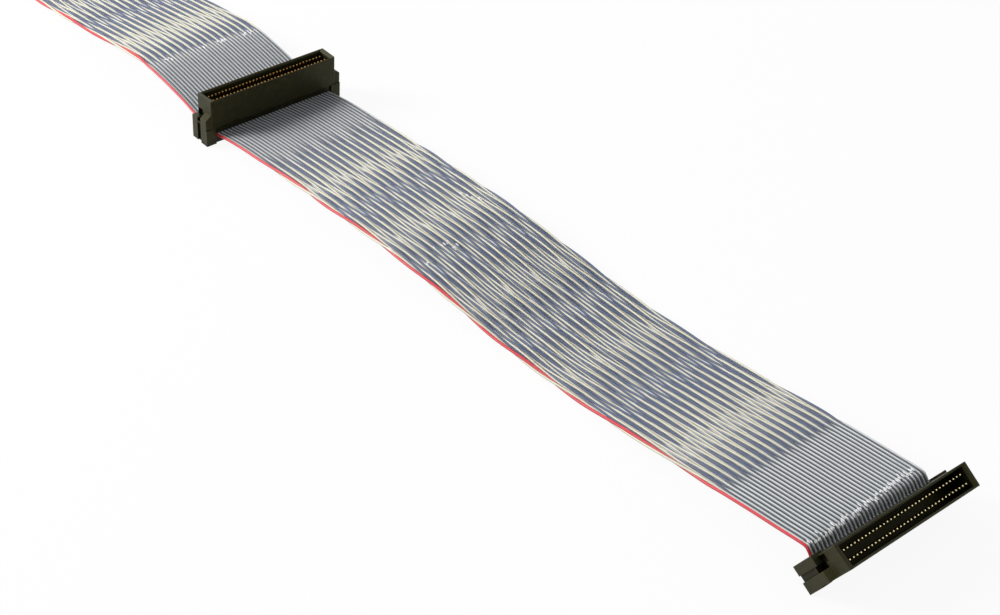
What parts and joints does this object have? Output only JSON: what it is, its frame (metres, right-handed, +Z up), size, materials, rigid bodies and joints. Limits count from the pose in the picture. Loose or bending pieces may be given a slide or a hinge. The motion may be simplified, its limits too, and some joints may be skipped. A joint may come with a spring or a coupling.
{
  "type": "ribbon cable",
  "caption": "Flat ribbon cable of twisted wire pairs with pin connectors clamped on at both ends and at the middle, one edge wire marked.",
  "frame": {"origin": "centre of the underside of the middle connector, on the surface that the cable lies on", "axes": "+X along the ribbon towards the tipped end connector, +Y from the marked edge wire to the other edge, +Z up, the way the middle connector's pins point"},
  "size_m": [0.4897, 0.0542, 0.0165],
  "materials": {
    "wire_insulation": "satin",
    "marked_insulation": "satin",
    "film": "clear",
    "housing_plastic": "satin",
    "cover_plastic": "satin",
    "contact_metal": "gold plated"
  },
  "bodies": {
    "root": {"host_flat": "wire_insulation", "rear_lying": "wire_insulation", "rear_rise": "wire_insulation", "middle_flat": "wire_insulation", "front_arch": "wire_insulation", "front_dip": "wire_insulation", "front_rise": "wire_insulation", "end_flat": "wire_insulation", "marked_wire": "marked_insulation", "film_top": "film", "film_bottom": "film", "middle_housing": "housing_plastic", "middle_cover": "cover_plastic", "middle_front_contacts": "contact_metal", "middle_rear_contacts": "contact_metal", "end_housing": "housing_plastic", "end_cover": "cover_plastic", "end_front_contacts": "contact_metal", "end_rear_contacts": "contact_metal", "host_housing": "housing_plastic", "host_cover": "cover_plastic", "host_front_contacts": "contact_metal", "host_rear_contacts": "contact_metal"}
  },
  "joints": []
}
